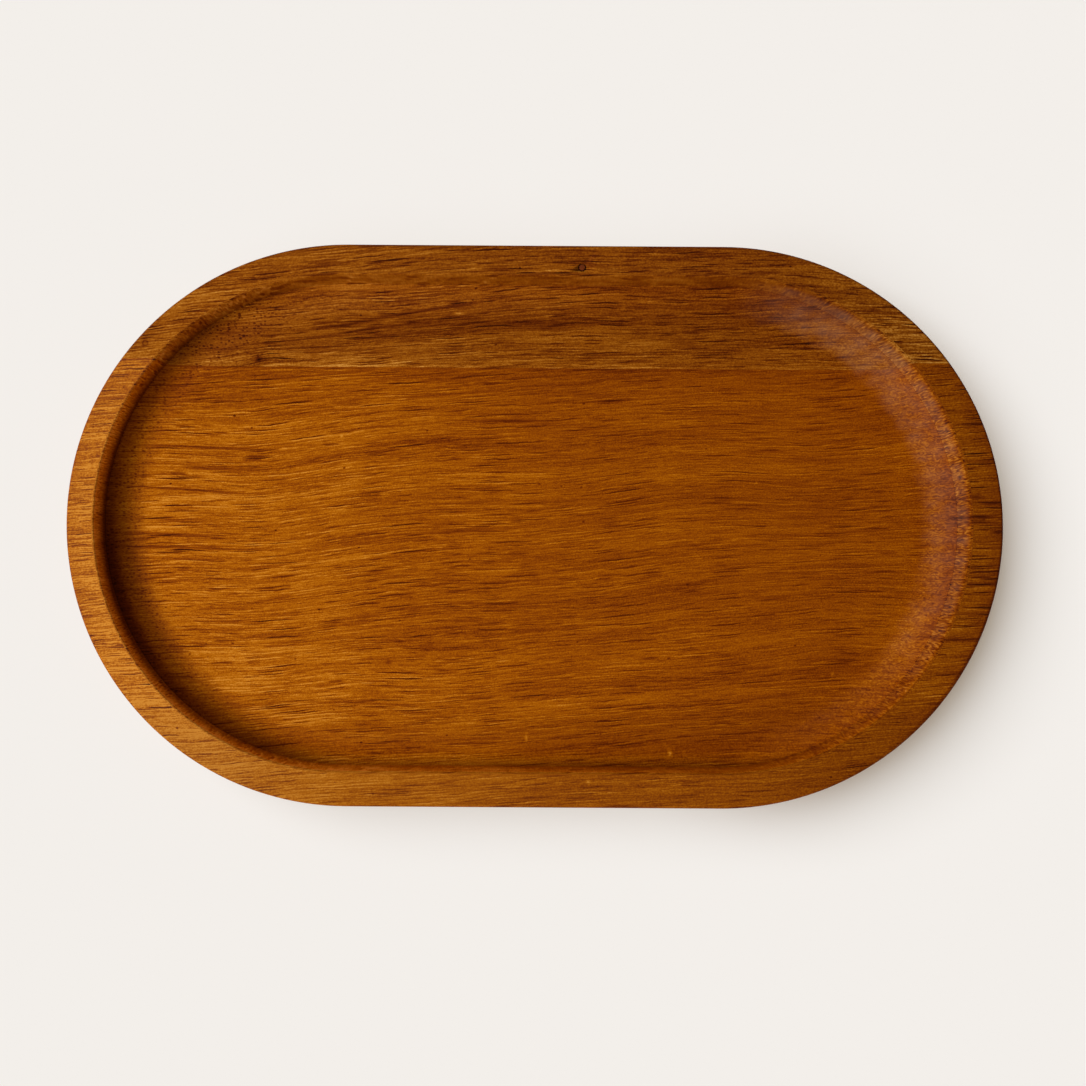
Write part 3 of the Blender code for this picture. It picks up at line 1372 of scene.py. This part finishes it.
FRONT_WOOD = Wood(
    name="front_board_wood",
    slot="front_wood",
    seed=1.7,
    tone=0.286,
    ramp=FRONT_RAMP,
    bands=(
        (-95.0, 0.93), (-84.0, 0.965), (-78.0, 0.94), (-74.0, 0.98), (-68.0, 0.96), (-62.0, 1.04),
        (-58.0, 1.14), (-54.5, 1.02), (-52.0, 1.065), (-45.0, 1.107), (-38.0, 1.09), (-34.0, 1.007),
        (-24.0, 0.972), (-19.0, 1.01), (-12.0, 0.962), (-6.0, 1.03), (-1.0, 1.0), (2.0, 0.959),
        (6.0, 0.993), (11.0, 1.0), (16.0, 1.09), (20.0, 1.014), (26.0, 0.985), (33.0, 0.955),
        (39.0, 1.034), (43.0, 0.945), (48.0, 0.89), (51.0, 0.84), (54.0, 0.80), (60.0, 0.84),
    ),
    along=(
        (-155.0, 1.34), (-115.0, 1.29), (-85.0, 1.23), (-70.0, 1.21), (-55.0, 1.113),
        (-25.0, 1.033), (-10.0, 1.004), (5.0, 0.938), (35.0, 0.888), (65.0, 0.858), (95.0, 0.828),
        (110.0, 0.872), (155.0, 0.90),
    ),
    rim_along=(
        (-150.0, 1.26), (-110.0, 1.13), (-40.0, 1.0), (60.0, 1.02), (110.0, 0.85), (150.0, 0.78),
    ),
    contrast=((-150.0, 1.25), (-60.0, 1.15), (20.0, 0.95), (80.0, 0.85), (150.0, 1.0)),
    rim_contrast=((-150.0, 1.1), (-60.0, 0.85), (60.0, 1.0), (110.0, 1.2), (150.0, 1.3)),
    rim_painted_sheen=(
        (-150.0, 0.016), (-110.0, 0.016), (-60.0, 0.005), (60.0, 0.003), (110.0, 0.001),
        (150.0, 0.001),
    ),
    end_painted_sheen=((-80.0, 0.002), (-55.0, 0.006), (-20.0, 0.026), (20.0, 0.032), (60.0, 0.04)),
    slope=0.065,
    bend=0.0,
    bend_at=0.0,
    swells=(
        Mark(-92.0, -8.0, 18.0, 42.0, -2.4), Mark(62.0, 0.0, 24.0, 18.0, 2.6),
        Mark(95.0, -24.0, 24.0, 14.0, 2.2), Mark(98.0, 24.0, 26.0, 14.0, -2.2),
        Mark(-20.0, -44.0, 26.0, 12.0, -1.4),
    ),
    fibres=(
        Fibres(0.52, 0.38, 0.62), Fibres(1.9, 0.40, 0.45), Fibres(12.0, 0.46, 0.36),
        Fibres(26.0, 1.5, 0.42), Fibres(48.0, 4.2, 0.42),
    ),
    streaks=(
        Streaks(15.0, 0.48, -0.06, -0.12, 0.19, 0.18, 2.1),
    ),
    pores=(
        Pores(14.0, 0.29, 2.7, 0.62, 2.1, lip=0.26), Pores(5.0, 0.26, 2.6, 0.50, 5.9),
        Pores(0.6, 0.42, 12.0, 0.60, 7.7),
    ),
    marks=(
        Mark(-100.0, 42.0, 16.0, 9.0, -0.12), Mark(-100.0, -44.0, 16.0, 9.0, 0.08),
        Mark(105.0, -42.0, 12.0, 8.0, -0.18), Mark(105.0, 42.0, 14.0, 9.0, -0.08),
        Mark(-47.8, -44.6, 0.9, 0.7, -0.45), Mark(-63.8, 29.9, 0.35, 0.30, 0.8),
        Mark(73.8, 15.6, 0.35, 0.35, 0.6), Mark(99.4, -47.9, 0.45, 0.35, 0.7),
        Mark(-2.0, -69.5, 0.35, 0.8, 0.9), Mark(45.6, -74.2, 0.5, 0.8, 1.2),
        Mark(17.7, -81.4, 0.5, 0.4, 0.9), Mark(-117.5, 12.2, 14.0, 0.42, -0.62, lean=-0.05),
        Mark(-108.5, 26.0, 13.0, 0.40, -0.52, lean=-0.04),
        Mark(-102.5, 19.2, 8.0, 0.40, -0.60, lean=-0.03),
        Mark(-121.0, -2.9, 11.0, 0.40, -0.55, lean=-0.03),
        Mark(-113.5, -7.3, 19.0, 0.40, -0.55, lean=-0.02),
        Mark(-121.0, 2.0, 10.0, 0.38, -0.46, lean=-0.05),
        Mark(25.3, 42.1, 5.0, 0.44, -0.65, lean=0.06), Mark(-7.6, 35.5, 10.0, 0.48, -0.62),
        Mark(27.0, 36.4, 14.0, 1.1, 0.22), Mark(48.0, 27.2, 12.0, 0.8, 0.20),
        Mark(-24.0, -1.2, 10.0, 0.42, -0.55, lean=0.06), Mark(142.3, 3.9, 4.0, 0.44, -0.85),
        Mark(142.6, 2.2, 4.0, 0.36, -0.65), Mark(145.6, 8.4, 3.6, 0.46, -0.70),
        Mark(140.8, 10.3, 2.0, 0.40, -0.60), Mark(148.2, -0.9, 1.8, 0.44, -0.60),
        Mark(136.0, -35.2, 6.0, 0.46, -0.65),
    ),
    glue_mark=Mark(20.0, 52.65, 120.0, 0.28, -0.22),
)
REAR_WOOD = Wood(
    name="rear_board_wood",
    slot="rear_wood",
    seed=4.9,
    tone=0.238,
    ramp=REAR_RAMP,
    bands=(
        (46.0, 1.10), (53.0, 1.16), (56.0, 1.17), (58.0, 1.12), (61.5, 1.08), (65.8, 0.98),
        (68.0, 0.78), (69.9, 0.86), (72.6, 0.79), (76.0, 0.96), (81.0, 0.98), (85.0, 0.95),
        (92.0, 0.92),
    ),
    along=(
        (-155.0, 1.25), (-92.0, 1.19), (-62.0, 1.17), (-47.0, 1.157), (-32.0, 1.104),
        (-17.0, 1.057), (-2.0, 0.963), (28.0, 0.924), (58.0, 0.843), (73.0, 0.81), (88.0, 0.856),
        (155.0, 0.90),
    ),
    rim_along=(
        (-150.0, 1.18), (-100.0, 1.05), (-60.0, 1.0), (80.0, 1.0), (105.0, 1.25), (125.0, 1.33),
        (150.0, 1.3),
    ),
    contrast=((-150.0, 1.2), (-60.0, 1.15), (60.0, 1.0), (150.0, 1.0)),
    rim_contrast=((-150.0, 1.0), (-60.0, 1.0), (60.0, 1.1), (150.0, 1.4)),
    rim_painted_sheen=((-150.0, 0.002), (-110.0, 0.0005), (-60.0, 0.001), (150.0, 0.001)),
    end_painted_sheen=((40.0, 0.036), (60.0, 0.040), (75.0, 0.036), (90.0, 0.02)),
    slope=0.03,
    bend=-0.00030,
    bend_at=30.0,
    swells=(Mark(-88.0, 56.0, 5.0, 2.4, 1.3),),
    fibres=(
        Fibres(0.52, 0.38, 0.62), Fibres(1.9, 0.40, 0.48), Fibres(12.0, 0.46, 0.40),
        Fibres(26.0, 1.5, 0.52), Fibres(48.0, 4.2, 0.44),
    ),
    streaks=(
        Streaks(15.0, 0.52, -0.06, -0.12, 0.24, 0.16, 3.3),
        Streaks(15.0, 0.60, -0.14, -0.18, 0.32, 0.0, 8.2),
    ),
    pores=(
        Pores(13.0, 0.33, 2.7, 0.68, 3.3, lip=0.26), Pores(4.5, 0.30, 2.6, 0.58, 8.2),
        Pores(0.6, 0.42, 12.0, 0.60, 7.7),
    ),
    marks=(
        Mark(-92.7, 55.1, 2.8, 1.7, -0.45), Mark(-97.2, 56.4, 1.5, 0.8, 0.40),
        Mark(-91.3, 55.3, 0.7, 0.6, -0.55), Mark(-94.5, 55.9, 0.9, 0.5, 0.5),
        Mark(-103.5, 54.5, 5.0, 0.32, 0.55), Mark(-106.5, 56.3, 3.0, 0.3, 0.6),
        Mark(-85.5, 53.7, 3.2, 0.4, 0.35), Mark(-24.9, 70.8, 1.1, 0.35, 1.2),
        Mark(-124.9, 57.9, 0.22, 0.22, -0.5, ring=0.8),
        Mark(-41.2, 71.1, 15.0, 0.40, -0.66, lean=0.155),
        Mark(-63.0, 66.9, 11.0, 0.38, -0.56, lean=0.15),
        Mark(-50.0, 66.2, 14.0, 0.36, -0.48, lean=0.14), Mark(-8.0, 67.8, 20.0, 1.0, -0.34),
        Mark(-11.7, 82.0, 3.6, 0.8, -0.60),
    ),
    glue_mark=Mark(20.0, 53.4, 120.0, 0.28, 0.22),
)


# Studio


@dataclass(frozen=True)
class Table:
    """The pale table and the plain surround that show behind the tray.

    Part of the table's colour is even, so that the tray's shadow is no darker than it should be.
    That part is the warmer one, and the lit part makes up for it, so the shadow turns warm. On
    the left another part is even, which makes the tray's shadow lighter there, and fades out over
    a stretch in millimetres.
    """

    colour: Colour = (0.896, 0.862, 0.822)
    lit_share: Colour = (1.0, 1.0776, 1.1756)
    even_tint: Colour = (1.0, 0.81, 0.57)
    even_share: float = 0.29
    even_left: float = 0.52
    left_stretch: Pair = (110.0, 35.0)
    reach: float = 8.0
    fill: Colour = (0.03, 0.03, 0.03)

    def build(self) -> Object:
        """Lays the table and sets the surround.

        Returns:
            The table.
        """
        bm = bmesh.new()
        bmesh.ops.create_grid(bm, x_segments=8, y_segments=8, size=self.reach / 2)
        material, graph, shader = new_material("pale_table")
        lit, even = (
            (*(part * share for part, share in zip(self.colour, shares)), 1.0)
            for shares in (self.lit_share, self.even_tint)
        )
        shader.inputs["Base Color"].default_value = lit
        shader.inputs["Roughness"].default_value = 0.9
        shader.inputs["Specular IOR Level"].default_value = 0.0
        seen = graph.term("ShaderNodeLightPath", "Is Camera Ray")
        # More even glow on the left of the table, which lightens the tray's shadow there
        left = graph.place().x.step(*self.left_stretch) * self.even_left
        surface = shader
        for share, colour in ((left, lit), (self.even_share, even)):
            glow = graph.node("ShaderNodeEmission", {}, {"Color": colour, "Strength": 1.0})
            mixed = {0: seen * share, 1: surface.outputs[0], 2: glow.outputs[0]}
            surface = graph.node("ShaderNodeMixShader", {}, mixed)
        graph.feed(graph.tree.nodes["Material Output"].inputs["Surface"], surface.outputs[0])
        table = make_piece("table", bm, material)
        self.surround()
        return table

    def surround(self) -> None:
        """Sets the world: the table's colour where it is seen, and a dim fill on the tray."""
        world = bpy.data.worlds.new("surround")
        bpy.context.scene.world = world
        world.use_nodes = True
        graph = Graph(world.node_tree)
        path = graph.node("ShaderNodeLightPath").outputs
        seen = Term(graph, path["Is Camera Ray"])
        for ray in ("Is Glossy Ray", "Is Transmission Ray"):
            seen = seen.at_least(Term(graph, path[ray]))
        background = world.node_tree.nodes["Background"].inputs
        graph.feed(background["Color"], graph.mix(seen, (*self.fill, 1.0), (*self.colour, 1.0)))
        background["Strength"].default_value = 1.0


class LampKind(Enum):
    """The two kinds of lamp, by Blender's name for their light."""

    SOFTBOX = "AREA"
    WINDOW = "SUN"


@dataclass(frozen=True)
class Lamp:
    """A lamp over the tray, aimed at its middle.

    A softbox lights the wood, and has a breadth in metres. A window is broad light from one side,
    which lays the tray's shadow on the table, and its breadth is in degrees. The azimuth goes
    from +X towards +Y.
    """

    name: str
    azimuth_deg: float
    height_deg: float
    distance: float
    breadth: float
    power: float
    kind: LampKind = LampKind.SOFTBOX

    def build(self, lit: Sequence[Object]) -> Object:
        """Hangs the lamp.

        Args:
            lit: what it lights.

        Returns:
            The lamp.
        """
        data = bpy.data.lights.new(self.name, self.kind.value)
        data.energy = self.power
        if self.kind is LampKind.SOFTBOX:
            data.shape = "DISK"
            data.size = self.breadth
        else:
            data.angle = math.radians(self.breadth)
        turn, lift = math.radians(self.azimuth_deg), math.radians(self.height_deg)
        level = math.cos(lift)
        way = Vector((math.cos(turn) * level, math.sin(turn) * level, math.sin(lift)))
        lamp = in_scene(bpy.data.objects.new(self.name, data))
        lamp.location = way * self.distance
        lamp.rotation_euler = way.to_track_quat("Z", "Y").to_euler()
        group = bpy.data.collections.new(f"lit_by_{self.name}")
        for thing in lit:
            group.objects.link(thing)
        lamp.light_linking.receiver_collection = group
        return lamp


SOFTBOXES = (
    Lamp("key_softbox", 196.0, 48.0, 1.40, 0.52, 13.5),
    Lamp("overhead_softbox", 196.0, 67.0, 1.40, 0.90, 5.6),
    Lamp("rear_softbox", 112.0, 24.0, 1.60, 0.60, 4.6),
    Lamp("front_softbox", 248.0, 30.0, 1.60, 0.60, 4.2),
    Lamp("fill_softbox", 325.0, 22.0, 1.60, 0.60, 3.5),
)
WINDOWS = (
    Lamp("left_rear_window", 152.0, 46.0, 2.0, 48.0, 3.52, LampKind.WINDOW),
    Lamp("left_front_window", 212.0, 46.0, 2.0, 48.0, 0.72, LampKind.WINDOW),
)


@dataclass(frozen=True)
class OverheadCamera:
    """The camera straight above the tray, a little left of and in front of its middle.

    The picture's own middle lies at frame_right and frame_front, so the lens is shifted to it.
    """

    left: float = 0.012
    front: float = 0.013
    above_rim: float = 0.350
    frame_at_rim: float = 0.34710
    frame_right: float = 0.00269
    frame_front: float = 0.00534
    roll: float = 0.006367
    sensor: float = 36.0
    clip: Pair = (0.01, 20.0)

    def build(self) -> Object:
        """Sets up the camera.

        Returns:
            The camera.
        """
        data = bpy.data.cameras.new("overhead")
        data.sensor_width = self.sensor
        data.lens = self.sensor * self.above_rim / self.frame_at_rim
        data.clip_start, data.clip_end = self.clip
        data.shift_x = (self.left + self.frame_right) / self.frame_at_rim
        data.shift_y = (self.front - self.frame_front) / self.frame_at_rim
        camera = in_scene(bpy.data.objects.new("overhead", data))
        camera.location = (-self.left, -self.front, TRAY.height + self.above_rim)
        camera.rotation_euler = (0.0, 0.0, self.roll)
        bpy.context.scene.camera = camera
        return camera


def main() -> None:
    """Builds the camera, the tray and the studio in order."""
    logging.basicConfig(level=logging.INFO, format="%(name)s %(message)s")
    bpy.context.scene.view_settings.view_transform = "Standard"
    OverheadCamera().build()
    pieces = [
        FinishedBoard(Board.REAR, REAR_WOOD).build(),
        FinishedBoard(Board.FRONT, FRONT_WOOD).build(),
        RimPlug().build(),
    ]
    table = Table().build()
    for softbox in SOFTBOXES:
        softbox.build(pieces)
    for window in WINDOWS:
        window.build([table])
    LOG.info("%d pieces in all", len(pieces))


if __name__ == "__main__":
    main()
